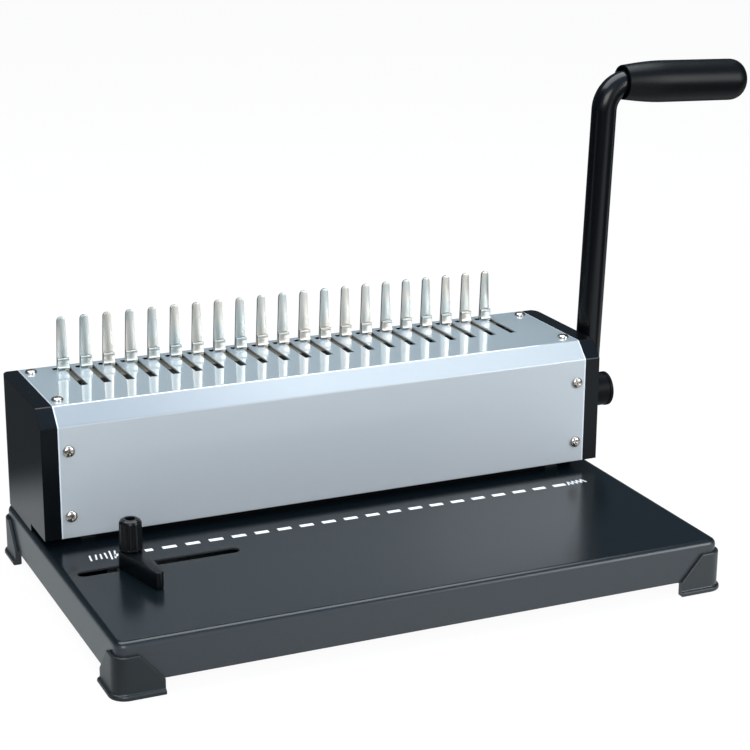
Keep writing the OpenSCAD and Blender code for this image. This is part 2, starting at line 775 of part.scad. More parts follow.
// Bent sheet that follows the housing's section from the throat to the rear lip
module top_cover() piece(silver_paint) difference() {
    along_x(-cover_x, cover_x) difference() {
        housing_section();
        housing_section(cover_t);
        // the sheet has no bottom, and it ends in a lip at the rear
        translate([front_y + cover_t, 0]) square([housing_d - 2 * cover_t, throat_z + 2]);
        translate([rear_y - cover_t - 1, 0]) square([3 + cover_t, top_z - rear_lip]);
    }
    at_each_hole() {
        block([slot_x, slot_y, top_z - cover_t - 1], [slot_x + slot_w, slot_rear_y, top_z + 1]);
        block([finger_x - finger_w / 2 - notch_w, comb_back_y - 0.5, top_z - cover_t - 1],
              [slot_x + eps, comb_back_y + finger_t + 2, top_z + 1]);
    }
    at_cover_screws() screw_hole();
}

// Put a copy at each of the cover's screws, with +Z out of the sheet
module at_cover_screws() for (s = [-1, 1]) {
    for (y = screw_top_y) translate([s * (cover_x - screw_in), y, top_z]) children();
    for (z = screw_front_z) translate([s * (cover_x - screw_in), front_y, z])
        rotate([90, 0, 0]) children();
}

module screw_hole() translate([0, 0, -cover_screw_len - 1])
    cylinder(h = cover_screw_len + 2, r = cover_screw_r + fit_gap);

module cover_screws() piece(plated)
    at_cover_screws() pan_screw(cover_screw_r, 3.6, 2.3, cover_screw_len);

module rear_cover() piece(black_paint) {
    back = rear_y - cover_t - 0.1;
    block([-cover_x, back - cover_t, bed_z + seat_gap], [cover_x, back, top_z - 4]);
    // foot flange that lies on the bed
    block([-inner_x + 17, back - 12, bed_z], [inner_x - 17, back, bed_z + cover_t]);
}

// Moulded end cap for the right side: a hollow box with a spigot under the cover
module end_cap() {
    spigot_in = cover_t + 0.1;
    wall_in = spigot_in + cap_wall;
    difference() {
        union() {
            intersection() {
                along_x(cover_x, cap_x) housing_section();
                linear_extrude(top_z + 1) cap_plan();
            }
            along_x(cover_x - spigot_len, cover_x + eps) intersection() {
                housing_section(spigot_in);
                translate([front_y, bed_z + 4]) square([housing_d - 16, housing_h]);
            }
        }
        along_x(cover_x - spigot_len - 1, cap_x - cap_wall) housing_section(wall_in);
        rod_x(cap_x - cap_wall - 1, cap_x + 1, cap_hole_r);
        at_cover_screws() screw_hole();
    }
}

// Plan of the outer part of an end cap, with a round corner at the rear
module cap_plan() {
    r = cap_corner_r;
    translate([cap_x - r, rear_y - r]) circle(r);
    translate([cover_x - 1, front_y - 1]) {
        square([cap_w + 1, housing_d + 1 - r]);
        square([cap_w + 1 - r, housing_d + 1]);
    }
}

module end_cap_right() piece(black_plastic) end_cap();

// The left cap has no shaft through it
module end_cap_left() piece(black_plastic) on_left() {
    end_cap();
    rod_x(cap_x - cap_wall, cap_x, cap_hole_r);
}

// ----------------------------------------------------------------- handle

module drive_shaft() piece(plated) rod_x(-shaft_left, hub_x + hub_len - 6, shaft_r);

// Pinion with a boss on one side; tooth_angle turns one tooth to its rack
module pinion(teeth, x0, face, boss0, boss1, tooth_angle) difference() {
    union() {
        along_x(x0, x0 + face) translate([axis_y, shaft_z]) rotate(tooth_angle)
            gear_outline(teeth);
        rod_x(boss0, boss1, boss_r);
    }
    rod_x(min(x0, boss0) - 1, max(x0 + face, boss1) + 1, shaft_r + fit_gap);
}

module punch_pinion()
    pinion(punch_teeth, punch_gear_x, punch_face, punch_gear_x - 6, punch_gear_x + eps, 180);
module opener_pinion()
    pinion(opener_teeth, opener_gear_x, opener_face, opener_gear_x + opener_face - eps,
           inner_x - 1.7, 90);

module punch_pinion_right() piece(tool_steel) punch_pinion();
module punch_pinion_left() piece(tool_steel) on_left() punch_pinion();
module opener_pinion_right() piece(tool_steel) opener_pinion();
module opener_pinion_left() piece(tool_steel) on_left() opener_pinion();

module handle_hub() piece(black_paint) difference() {
    rod_x(hub_x, hub_x + hub_len - 2, hub_r);
    rod_x(hub_x - 1, hub_x + hub_len, shaft_r + fit_gap);
}

// Plug that closes the hub, with a bead round its rim
module hub_plug() piece(black_plastic) {
    rod_x(hub_x + hub_len - 2, hub_x + hub_len, hub_r + 0.4);
    rod_x(hub_x + hub_len - 5, hub_x + hub_len - 2 + eps, shaft_r - 0.2);
}

// Stand children on the shaft's axis, leaning as the arm does
module on_arm() translate([arm_x, axis_y, shaft_z]) rotate([0, arm_lean, 0]) children();

// The arm's middle line as a solid round bar of radius r
module arm_bar(r, low, reach) {
    translate([0, 0, low]) cylinder(h = arm_len - arm_bend_r - low, r = r);
    translate([arm_bend_r, 0, arm_len - arm_bend_r]) rotate([90, 0, 0])
        rotate([0, 0, 90]) rotate_extrude(angle = 90) translate([arm_bend_r, 0]) circle(r);
    translate([arm_bend_r, 0, arm_len]) rotate([0, 90, 0]) cylinder(h = reach - arm_bend_r, r = r);
}

// Bent steel tube, coped to the hub and welded on
module handle_arm() piece(black_paint) difference() {
    on_arm() difference() {
        arm_bar(tube_r, 4, tube_reach);
        arm_bar(tube_r - tube_wall, 3, tube_reach + 1);
    }
    rod_x(hub_x - 5, hub_x + hub_len + 5, hub_r);
}

// Radius of the grip at a distance from the arm: a swelling body and a domed end
function grip_radius(u) =
    let (dome = grip_reach - dome_len, swell = min(1, (u - grip_mouth) / 30))
    u <= dome ? mouth_r + (grip_r - mouth_r) * sin(90 * swell)
              : grip_r * pow(max(0, 1 - pow((u - dome) / dome_len, 2.2)), 1 / 2.8);

module handle_grip() piece(black_plastic) on_arm() translate([0, 0, arm_len]) rotate([0, 90, 0])
    difference() {
        rotate_extrude() polygon(concat(
            [[0, grip_mouth]],
            [for (u = [grip_mouth : 3 : grip_mouth + 30]) [grip_radius(u), u]],
            [for (k = [0 : 9]) let (u = grip_reach - dome_len + dome_len * sin(k * 9))
                [grip_radius(u), u]],
            [[0, grip_reach]]));
        translate([0, 0, grip_mouth - 1]) {
            cylinder(h = mouth_in + 1, r = mouth_bore);
            cylinder(h = tube_reach + 0.3 - grip_mouth + 1, r = tube_r + fit_gap);
        }
    }

// ------------------------------------------------------------- edge guide

// Plan of the guide: round about the knob, straight along the paper's edge, slanted outside
module guide_plan() {
    nose = [guide_boss_r - guide_nose_r, -guide_reach];
    out = 360 + 2 * atan2(nose[1], nose[0]);     // where the slanted side leaves the boss
    polygon(concat(
        [for (k = [0 : 18]) guide_boss_r * [cos(k * out / 18), sin(k * out / 18)]],
        [for (k = [0 : 12]) let (a = out + (360 - out) * k / 12)
            nose + guide_nose_r * [cos(a), sin(a)]]));
}

module edge_guide() piece(black_plastic) translate([knob_x, slot_line_y, 0]) difference() {
    union() {
        translate([0, 0, guide_z]) linear_extrude(guide_h) guide_plan();
        // key that runs in the slot
        translate([0, 0, tray_top_z + 0.1]) linear_extrude(guide_z - tray_top_z)
            long_slot(-guide_boss_r, guide_boss_r, guide_slot_w - 2 * seat_gap);
    }
    translate([0, 0, tray_top_z - 1]) cylinder(h = guide_h + 9, r = stud_r + 0.3);
}

module guide_nut() piece(plated) translate([knob_x, slot_line_y, 0]) difference() {
    block([-8, -6, tray_top_z - 3.3], [8, 6, tray_top_z - seat_gap]);
    translate([0, 0, tray_top_z - 5]) cylinder(h = 9, r = stud_r + run_gap);
}

module guide_knob() piece(black_plastic) translate([knob_x, slot_line_y, knob_z]) difference() {
    rotate_extrude() polygon([[0, 0], [knob_r - 0.4, 0], [knob_r, 0.6], [knob_r - 0.3, knob_h - 2],
                              [knob_r - 1, knob_h - 0.8], [knob_r - 2.4, knob_h], [0, knob_h]]);
    for (k = [0 : knob_flutes - 1]) rotate([0, 0, k * 360 / knob_flutes])
        translate([knob_r + 0.5, 0, 1.2]) cylinder(h = knob_h, r = 1.25, $fn = 24);
    translate([0, 0, knob_h - 3]) cylinder(h = 4, r = 2.9);
    translate([0, 0, -1]) cylinder(h = knob_h - 5, r = stud_r + fit_gap);
}

module guide_stud() piece(plated) translate([knob_x, slot_line_y, 0])
    translate([0, 0, tray_top_z - 6]) cylinder(h = knob_z + knob_h - 7 - tray_top_z + 6, r = stud_r);

// ----------------------------------------------------------------- drawer

module chip_drawer() piece(black_plastic) {
    half = drawer_w / 2 - seat_gap;
    right = base_w / 2 + seat_gap;
    difference() {
        block([-drawer_left, bay_y - half, drawer_z], [right, bay_y + half, drawer_z + drawer_h]);
        block([-drawer_left + drawer_wall, bay_y - half + drawer_wall, drawer_z + drawer_wall],
              [right - drawer_wall, bay_y + half - drawer_wall, drawer_z + drawer_h + 1]);
    }
    // front with a finger lip
    block([right - eps, bay_y - drawer_w / 2 - 2, skirt_z],
          [right + 2, bay_y + drawer_w / 2 + 2, drawer_z + drawer_h + 2]);
    block([right, bay_y - 12, skirt_z], [right + 6, bay_y + 12, skirt_z + 2]);
}

// ------------------------------------------------------------------ pieces
base_tray();
bottom_plate();
foot_front_left();
foot_front_right();
foot_rear_left();
foot_rear_right();
foot_screws();
drawer_runners();
die_plate();
die_spacers();
paper_stop();
punch_guide_plate();
side_frame_left();
side_frame_right();
frame_screws();
shaft_bush_left();
shaft_bush_right();
upper_rail();
guide_posts();
return_spring_left();
return_spring_right();
slide_rails();
finger_bar();
comb_fingers();
top_cover();
rear_cover();
end_cap_left();
end_cap_right();
cover_screws();
drive_shaft();
punch_pinion_left();
punch_pinion_right();
opener_pinion_left();
opener_pinion_right();
handle_hub();
handle_arm();
handle_grip();
hub_plug();
punch_bar();
punch_pins();
punch_rack_left();
punch_rack_right();
opener_plate();
opener_hooks();
opener_rack_left();
opener_rack_right();
edge_guide();
guide_nut();
guide_knob();
guide_stud();
chip_drawer();
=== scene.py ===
import math

import bmesh
import bpy
from mathutils import Matrix, Vector


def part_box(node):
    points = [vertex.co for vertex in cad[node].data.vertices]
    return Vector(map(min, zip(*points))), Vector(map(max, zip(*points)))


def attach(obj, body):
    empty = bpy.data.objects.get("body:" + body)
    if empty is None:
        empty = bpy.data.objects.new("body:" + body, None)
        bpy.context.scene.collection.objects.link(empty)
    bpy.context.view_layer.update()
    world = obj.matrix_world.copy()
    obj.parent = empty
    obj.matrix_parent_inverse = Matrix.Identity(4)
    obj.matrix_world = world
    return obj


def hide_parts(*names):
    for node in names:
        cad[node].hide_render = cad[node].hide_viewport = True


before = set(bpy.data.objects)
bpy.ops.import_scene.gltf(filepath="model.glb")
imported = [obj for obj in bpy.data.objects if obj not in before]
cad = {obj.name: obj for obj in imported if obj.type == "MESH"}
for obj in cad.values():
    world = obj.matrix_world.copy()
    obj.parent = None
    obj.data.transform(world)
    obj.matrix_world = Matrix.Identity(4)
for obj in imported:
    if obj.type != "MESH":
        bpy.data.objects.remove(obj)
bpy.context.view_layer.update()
MM = 0.001

# ---------------------------------------------------------------- camera
# Where the photographer stood: a long lens on a tripod, to the left of the
# machine's front and a little above the tip of its handle.
camera_data = bpy.data.cameras.new("camera")
camera_data.sensor_width = 36.0
camera_data.lens = 95.555
camera_data.clip_start = 0.05
camera = bpy.data.objects.new("camera", camera_data)
camera_place = Vector((-0.50694, -1.01785, 0.46531))
camera_yaw, camera_pitch, camera_roll = 0.426, -0.299, 0.006

forward = Vector((math.sin(camera_yaw) * math.cos(camera_pitch),
                  math.cos(camera_yaw) * math.cos(camera_pitch),
                  math.sin(camera_pitch)))
level_right = Vector((math.cos(camera_yaw), -math.sin(camera_yaw), 0))
level_up = level_right.cross(forward)
right = level_right * math.cos(camera_roll) + level_up * math.sin(camera_roll)
up = level_up * math.cos(camera_roll) - level_right * math.sin(camera_roll)
turn = Matrix((right, up, -forward)).transposed()
camera.matrix_world = Matrix.Translation(camera_place) @ turn.to_4x4()
bpy.context.scene.collection.objects.link(camera)
bpy.context.scene.camera = camera
bpy.context.scene.view_settings.view_transform = "Standard"

# ---------------------------------------------------------------- studio
# A white table in a dim studio. The table is bright in front of the machine
# and falls off at its sides and behind it, where black surfaces mirror it.


def add_node(tree, kind, inputs=(), **settings):
    """A node with its settings, and its inputs linked or set."""
    made = tree.nodes.new(kind)
    for name, value in settings.items():
        setattr(made, name, value)
    for socket, value in dict(inputs).items():
        if isinstance(value, bpy.types.NodeSocket):
            tree.links.new(value, made.inputs[socket])
        else:
            made.inputs[socket].default_value = value
    return made


table_white = (1.0, 1.0, 1.0)
table_shade = (0.014, 0.018, 0.021)
table_glow = (0.90, 0.97, 1.0)
front_wall = (0.58, 0.61, 0.63)
rear_wall = (0.075, 0.10, 0.12)
front_ceiling = (0.50, 0.72, 1.0)
rear_ceiling = (0.13, 0.16, 0.19)
# Where one part of the room fades into the next, by the direction looked in
walls_turn = (-0.6, -0.1)
ceiling_turn = (-0.35, -0.05)
walls_top = (0.45, 0.75)
horizon = (0.0, 0.05)

world = bpy.data.worlds.new("studio")
world.use_nodes = True
bpy.context.scene.world = world
sky = world.node_tree
sky.nodes.clear()
direction = add_node(sky, "ShaderNodeTexCoord")
split = add_node(sky, "ShaderNodeSeparateXYZ", {0: direction.outputs["Generated"]})


def fade(tree, value, start, end):
    """0 before start and 1 after end, with a smooth step between them."""
    return add_node(tree, "ShaderNodeMapRange",
                    {"Value": value, "From Min": start, "From Max": end},
                    interpolation_type="SMOOTHSTEP").outputs[0]


def blend(tree, factor, first, second):
    """A mix of two colours, each a socket or a colour."""
    sides = {name: colour if isinstance(colour, bpy.types.NodeSocket) else (*colour, 1)
             for name, colour in (("A", first), ("B", second))}
    return add_node(tree, "ShaderNodeMix", {"Factor": factor, **sides},
                    data_type="RGBA").outputs["Result"]


walls = blend(sky, fade(sky, split.outputs["Y"], *walls_turn), front_wall, rear_wall)
ceiling = blend(sky, fade(sky, split.outputs["Y"], *ceiling_turn), front_ceiling, rear_ceiling)
room = blend(sky, fade(sky, split.outputs["Z"], *walls_top), walls, ceiling)
room = blend(sky, fade(sky, split.outputs["Z"], *horizon), rear_wall, room)
glow = add_node(sky, "ShaderNodeBackground", {"Color": room, "Strength": 1.0})
add_node(sky, "ShaderNodeOutputWorld", {"Surface": glow.outputs[0]})

table_half = 6.0
table_mesh = bpy.data.meshes.new("table")
table_corners = [(x * table_half, y * table_half, 0)
                 for x, y in ((-1, -1), (1, -1), (1, 1), (-1, 1))]
table_mesh.from_pydata(table_corners, [], [(0, 1, 2, 3)])
table = bpy.data.objects.new("table", table_mesh)
bpy.context.scene.collection.objects.link(table)
paper = bpy.data.materials.new("table_white")
paper.use_nodes = True
paper.node_tree.nodes.clear()
tree = paper.node_tree


def times(tree, first, second, operation="MULTIPLY"):
    """A sum, product or other operation on two numbers or sockets."""
    return add_node(tree, "ShaderNodeMath", {0: first, 1: second}, operation=operation).outputs[0]


def coordinate(tree, kind, axis):
    """One axis of a surface's own places or normals."""
    source = add_node(tree, "ShaderNodeTexCoord").outputs[kind]
    return add_node(tree, "ShaderNodeSeparateXYZ", {0: source}).outputs[axis]


# What mirrors see of the table: beside the machine it is pale close by and dark
# behind, and before the machine it is white in a beam with slanting soft sides
beam_left_slope, beam_left_side = 0.3, (-0.45, 0.0)
beam_right_slope, beam_right_side = 0.466, (0.36, 0.20)
beam_end = (-0.06, -0.13)
pale_share, pale_end = 0.6, (0.26, 0.17)
across = coordinate(tree, "Object", "X")
away = coordinate(tree, "Object", "Y")
beam_left = times(tree, across, times(tree, away, beam_left_slope), "ADD")
beam_right = times(tree, across, times(tree, away, beam_right_slope), "ADD")
beam = times(tree, fade(tree, beam_left, *beam_left_side),
             fade(tree, beam_right, *beam_right_side))
beside = times(tree, fade(tree, away, *pale_end), pale_share)
front_part = fade(tree, away, *beam_end)
lit = times(tree, times(tree, beam, front_part),
            times(tree, beside, times(tree, 1.0, front_part, "SUBTRACT")), "ADD")
mirror_colour = blend(tree, lit, table_shade, table_glow)
path = add_node(tree, "ShaderNodeLightPath")
table_colour = blend(tree, path.outputs["Is Camera Ray"], mirror_colour, table_white)
seen = times(tree, path.outputs["Is Camera Ray"], path.outputs["Is Glossy Ray"], "MAXIMUM")
seen = times(tree, seen, path.outputs["Is Transmission Ray"], "MAXIMUM")
# the rest is plain white, and takes the machine's shadow
glow_share = 0.95
share = times(tree, seen, glow_share)
matt = add_node(tree, "ShaderNodeBsdfDiffuse", {"Color": (0.9, 0.9, 0.9, 1)})
bright = add_node(tree, "ShaderNodeEmission", {"Color": table_colour, "Strength": 1.0})
both = add_node(tree, "ShaderNodeMixShader", {0: share, 1: matt.outputs[0],
                                              2: bright.outputs[0]})
add_node(tree, "ShaderNodeOutputMaterial", {"Surface": both.outputs[0]})
table_mesh.materials.append(paper)


def softbox(name, place, target, width, height, power, colour):
    """An area lamp turned towards a point."""
    lamp = bpy.data.lights.new(name, "AREA")
    lamp.shape = "RECTANGLE"
    lamp.size, lamp.size_y = width, height
    lamp.energy = power
    lamp.color = colour
    holder = bpy.data.objects.new(name, lamp)
    holder.location = place
    holder.rotation_euler = (Vector(target) - Vector(place)).to_track_quat("-Z", "Y").to_euler()
    bpy.context.scene.collection.objects.link(holder)


machine_middle = (-0.06, 0.02, 0.06)
softbox("top_softbox", (-0.05, 0.3, 1.5), machine_middle, 1.8, 1.1, 36.0, (0.92, 0.97, 1.0))
softbox("left_softbox", (-0.8, -1.5, 0.9), machine_middle, 1.0, 0.8, 15.5, (1.0, 1.0, 0.99))
softbox("right_softbox", (1.1, -1.3, 0.7), machine_middle, 0.8, 0.9, 15.5, (0.97, 0.99, 1.0))

# ------------------------------------------------------------ base tray
# Bent sheet steel with a rolled front edge, sprayed with a satin black
# powder coat that has a faint orange peel.


def new_material(name):
    """An empty node material and its tree."""
    made = bpy.data.materials.new(name)
    made.use_nodes = True
    made.node_tree.nodes.clear()
    return made, made.node_tree


def group_tree(name, inputs, outputs):
    """An empty shader group with number inputs and typed outputs."""
    tree = bpy.data.node_groups.new(name, "ShaderNodeTree")
    for label, value in inputs.items():
        socket = tree.interface.new_socket(label, in_out="INPUT", socket_type="NodeSocketFloat")
        socket.default_value = value
    for label, kind in outputs.items():
        tree.interface.new_socket(label, in_out="OUTPUT", socket_type=kind)
    return tree, tree.nodes.new("NodeGroupInput"), tree.nodes.new("NodeGroupOutput")


# Fine surface grain: a height for bumps and a slow change of roughness
grain_group, given, result = group_tree(
    "surface_grain", {"Scale": 900.0, "Roughness": 0.4, "Spread": 0.06},
    {"Height": "NodeSocketFloat", "Roughness": "NodeSocketFloat"})
place = add_node(grain_group, "ShaderNodeTexCoord")
fine = add_node(grain_group, "ShaderNodeTexNoise",
                {"Vector": place.outputs["Object"], "Scale": given.outputs["Scale"],
                 "Detail": 3.0, "Roughness": 0.6})
slow = add_node(grain_group, "ShaderNodeTexNoise",
                {"Vector": place.outputs["Object"], "Scale": 14.0, "Detail": 4.0})
centred = add_node(grain_group, "ShaderNodeMath", {0: slow.outputs["Fac"], 1: 0.5},
                   operation="SUBTRACT")
swing = add_node(grain_group, "ShaderNodeMath",
                 {0: centred.outputs[0], 1: given.outputs["Spread"]}, operation="MULTIPLY")
rough = add_node(grain_group, "ShaderNodeMath",
                 {0: swing.outputs[0], 1: given.outputs["Roughness"]}, operation="ADD")
grain_group.links.new(fine.outputs["Fac"], result.inputs["Height"])
grain_group.links.new(rough.outputs[0], result.inputs["Roughness"])


def grained(tree, roughness, spread, scale, depth, edge_radius, samples=4):
    """Grain on softened edges: its roughness, its normal and the edges' normal."""
    grain = add_node(tree, "ShaderNodeGroup",
                     {"Scale": scale, "Roughness": roughness, "Spread": spread},
                     node_tree=grain_group)
    soft_edge = add_node(tree, "ShaderNodeBevel", {"Radius": edge_radius}, samples=samples)
    bump = add_node(tree, "ShaderNodeBump",
                    {"Strength": 1.0, "Distance": depth, "Height": grain.outputs["Height"],
                     "Normal": soft_edge.outputs[0]})
    return grain.outputs["Roughness"], bump.outputs[0], soft_edge.outputs[0]


def surface_of(tree, **settings):
    """Ends a material's tree with its surface, each setting named as its input is."""
    inputs = {name.replace("_", " "): value for name, value in settings.items()}
    surface = add_node(tree, "ShaderNodeBsdfPrincipled", inputs)
    add_node(tree, "ShaderNodeOutputMaterial", {"Surface": surface.outputs[0]})


def finish_material(name, colour, roughness, spread, grain_scale, grain_depth, metallic=0.0,
                    specular=0.5, edge_radius=0.5 * MM):
    """A painted, moulded or plated finish: one colour, with grain and softened edges."""
    made, tree = new_material(name)
    rough, normal, _ = grained(tree, roughness, spread, grain_scale, grain_depth, edge_radius)
    surface_of(tree, Base_Color=(*colour, 1), Metallic=metallic, Specular_IOR_Level=specular,
               Roughness=rough, Normal=normal)
    return made


def dress(material, *nodes):
    """Gives CAD pieces their finish."""
    for name in nodes:
        mesh = cad[name].data
        mesh.materials.clear()
        mesh.materials.append(material)


# Painted shade: where the sheet faces up, the bed is painted a deeper black than the skirt of the
# same coat
powder_black, tree = new_material("powder_coat_black")
skirt_black, bed_shade_black = (0.030, 0.034, 0.038), (0.0035, 0.0065, 0.0085)
skirt_to, bed_from = 0.3, 0.9
# the mask of the painted shade, by how far the surface faces up
level = fade(tree, coordinate(tree, "Normal", "Z"), skirt_to, bed_from)
rough, peel, _ = grained(tree, 0.21, 0.06, 700, 0.015 * MM, 0.5 * MM)
surface_of(tree, Base_Color=blend(tree, level, skirt_black, bed_shade_black),
           Specular_IOR_Level=0.36, Roughness=rough, Normal=peel)
dress(powder_black, "base_tray", "bottom_plate", "rear_cover")

# ------------------------------------------------------------ bed print
# White marks screened on the bed: a dash in front of each hole of the punch,
# and a few slanted ticks near both ends of the row.


bevel_from_angle, smooth_to_angle = 0.7, 0.4


def soft_prism(outline, low, high, soft, segments=2):
    """An upright prism on an outline of (x, y) points, with its sharp edges rounded."""
    shape = bmesh.new()
    base = shape.faces.new([shape.verts.new((x, y, low)) for x, y in outline])
    raised = bmesh.ops.extrude_face_region(shape, geom=[base])["geom"]
    bmesh.ops.translate(shape, vec=(0, 0, high - low),
                        verts=[v for v in raised if isinstance(v, bmesh.types.BMVert)])
    bmesh.ops.recalc_face_normals(shape, faces=shape.faces)
    if soft:
        sharp = [e for e in shape.edges if e.calc_face_angle() > bevel_from_angle]
        bmesh.ops.bevel(shape, geom=sharp, offset=soft, segments=segments, profile=0.5,
                        affect="EDGES", clamp_overlap=True)
    return shape


def as_mesh(name, shape, turn=None):
    """A mesh with smooth shading between its real edges, from a bmesh."""
    mesh = bpy.data.meshes.new(name)
    if turn is not None:
        shape.transform(turn)
    bmesh.ops.recalc_face_normals(shape, faces=shape.faces)
    shape.to_mesh(mesh)
    shape.free()
    mesh.shade_smooth()
    mesh.set_sharp_from_angle(angle=smooth_to_angle)
    return mesh


def place_piece(name, mesh, material, body, slot, *replaced):
    """Puts a finished mesh on a body of the machine."""
    if material is not None:
        mesh.materials.clear()
        mesh.materials.append(material)
    piece = bpy.data.objects.new(name, mesh)
    bpy.context.scene.collection.objects.link(piece)
    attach(piece, body)
    if replaced:
        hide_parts(*replaced)
    return piece


def geometry_tree(name, inputs):
    """An empty Geometry Nodes tree with a geometry in and out and named inputs."""
    tree = bpy.data.node_groups.new(name, "GeometryNodeTree")
    tree.interface.new_socket("Geometry", in_out="INPUT", socket_type="NodeSocketGeometry")
    for label, kind in inputs.items():
        tree.interface.new_socket(label, in_out="INPUT", socket_type=kind)
    tree.interface.new_socket("Geometry", in_out="OUTPUT", socket_type="NodeSocketGeometry")
    return tree, tree.nodes.new("NodeGroupInput").outputs, tree.nodes.new("NodeGroupOutput")


def grown(pattern, tree, values):
    """The plain mesh that a Geometry Nodes tree makes of a pattern mesh."""
    holder = bpy.data.objects.new(pattern.name, pattern)
    bpy.context.scene.collection.objects.link(holder)
    modifier = holder.modifiers.new("grown", "NODES")
    modifier.node_group = tree
    for item in tree.interface.items_tree:
        if item.in_out == "INPUT" and item.name in values:
            modifier[item.identifier] = values[item.name]
    bpy.context.view_layer.update()
    seen_by = bpy.context.evaluated_depsgraph_get()
    mesh = bpy.data.meshes.new_from_object(holder.evaluated_get(seen_by))
    holder.modifiers.remove(modifier)
    bpy.data.objects.remove(holder)
    return mesh


# One pattern, repeated along the row of holes
row_tree, given, result = geometry_tree("row_of_holes", {
    "Count": "NodeSocketInt", "Pitch": "NodeSocketFloat", "First": "NodeSocketVector",
    "Finish": "NodeSocketMaterial"})
row_step = add_node(row_tree, "ShaderNodeCombineXYZ", {"X": given["Pitch"]})
row_line = add_node(row_tree, "GeometryNodeMeshLine",
                    {"Count": given["Count"], "Start Location": given["First"],
                     "Offset": row_step.outputs[0]}, mode="OFFSET")
row_copies = add_node(row_tree, "GeometryNodeInstanceOnPoints",
                      {"Points": row_line.outputs[0], "Instance": given["Geometry"]})
row_solid = add_node(row_tree, "GeometryNodeRealizeInstances", {0: row_copies.outputs[0]})
row_finish = add_node(row_tree, "GeometryNodeSetMaterial",
                      {"Geometry": row_solid.outputs[0], "Material": given["Finish"]})
row_tree.links.new(row_finish.outputs[0], result.inputs[0])

hole_count = 21
hole_pitch = 14.2875 * MM
middle_hole_x = -58.971 * MM


def row_of(pattern, finish, across_x, away_y, up_z):
    """The pattern at every hole, offset from the holes."""
    first_x = middle_hole_x - (hole_count - 1) / 2 * hole_pitch + across_x
    return grown(pattern, row_tree, {"Count": hole_count, "Pitch": hole_pitch,
                                     "First": (first_x, away_y, up_z), "Finish": finish})


bed_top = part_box("base_tray")[1][2]
ink_depth = 0.08 * MM
screen_ink = finish_material("screen_ink", (0.86, 0.87, 0.88), 0.5, 0.1, 2500, 0.01 * MM,
                             specular=0.3)
dash_half_x, dash_half_y = 4.3 * MM, 1.75 * MM
dash_shift, dash_row_y = 0.57 * MM, 4.5 * MM
dash = as_mesh("dash", soft_prism(
    [(-dash_half_x, -dash_half_y), (dash_half_x, -dash_half_y), (dash_half_x, dash_half_y),
     (-dash_half_x, dash_half_y)], -ink_depth, ink_depth, 0))
dashes = row_of(dash, screen_ink, dash_shift, dash_row_y, bed_top)
place_piece("bed_dashes", dashes, None, "machine_body", "silver_paint")

# The ends of the ticks' strokes, in millimetres from a point on the bed
tick_wide = 1.0 * MM
ticks_from_x, ticks_from_y = -58.97, 28.5
left_ticks = (((-160, -18.8), (-161, -27)), ((-156.3, -18.7), (-157.8, -26.1)),
              ((-153.7, -19), (-154.7, -26.2)), ((-150.8, -18), (-151.7, -26.7)),
              ((-147.6, -16.4), (-149.4, -29)), ((-144.6, -17.2), (-147.2, -28)))
zigzag = ((149.4, -26.3), (151.2, -20.6), (152.6, -26.1), (154.4, -20.3), (155.8, -25.8),
          (157.6, -20.0), (159.0, -25.5), (160.8, -19.7), (162.4, -25.3))
right_ticks = tuple(zip(zigzag, zigzag[1:]))
ticks = bmesh.new()
for (far_x, far_y), (near_x, near_y) in left_ticks + right_ticks:
    ends = [Vector((x + ticks_from_x, y + ticks_from_y)) * MM
            for x, y in ((far_x, far_y), (near_x, near_y))]
    side = (ends[1] - ends[0]).orthogonal().normalized() * tick_wide / 2
    outline = [ends[0] + side, ends[0] - side, ends[1] - side, ends[1] + side]
    stroke = as_mesh("stroke", soft_prism(outline, bed_top - ink_depth, bed_top + ink_depth, 0))
    ticks.from_mesh(stroke)
place_piece("bed_ticks", as_mesh("bed_ticks", ticks), screen_ink, "machine_body", "silver_paint")

# ------------------------------------------------------------ feet and caps
# Moulded black plastic with a fine spark texture.
moulded_black = finish_material("moulded_black", (0.0016, 0.0024, 0.0034), 0.2, 0.08, 1600,
                                0.015 * MM, specular=0.22)
dress(moulded_black, "end_cap_left", "end_cap_right", "guide_knob", "chip_drawer")

foot_black = finish_material("foot_plastic", (0.008, 0.011, 0.013), 0.34, 0.08, 1600, 0.02 * MM,
                             specular=0.6)

# A foot is a wall that wraps the corner of the skirt, with a round bead along its
# sole, a ledge that the skirt stands on and a boss for its screw.
tray_low, tray_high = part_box("base_tray")
skirt_low = 8.2 * MM
corner_r = 6.0 * MM
foot_len, foot_level = 25.5 * MM, 12.0 * MM
foot_top, foot_end_top = 24.0 * MM, 8.6 * MM
inner_u = -1.6 * MM
skirt_gap, wall_gap, ledge_inset = 0.02 * MM, 0.05 * MM, 0.4 * MM
# (outwards, up) round the bead from the inside, in millimetres, then (outwards,
# down from the wall's top) over the lip
bead_section = ((-1.6, 0.5), (-1.2, 0.05), (-0.6, 0.0), (2.8, 0.0), (3.3, 0.2), (3.6, 0.7),
                (3.6, 1.6), (3.4, 2.3), (2.9, 2.8), (2.3, 3.0), (2.05, 3.4), (2.0, 4.2))
lip_section = ((1.8, 0.1), (1.5, 0.0), (0.4, 0.0), (0.05, 0.3))
wall_u, wall_drop, wall_least = 2.0 * MM, 0.5 * MM, 4.6 * MM
boss_r, boss_low, screw_in, boss_sides = 4.6 * MM, 1.6 * MM, 13.0 * MM, 24
ledge_low, boss_into_ledge = 6.6 * MM, 0.2 * MM


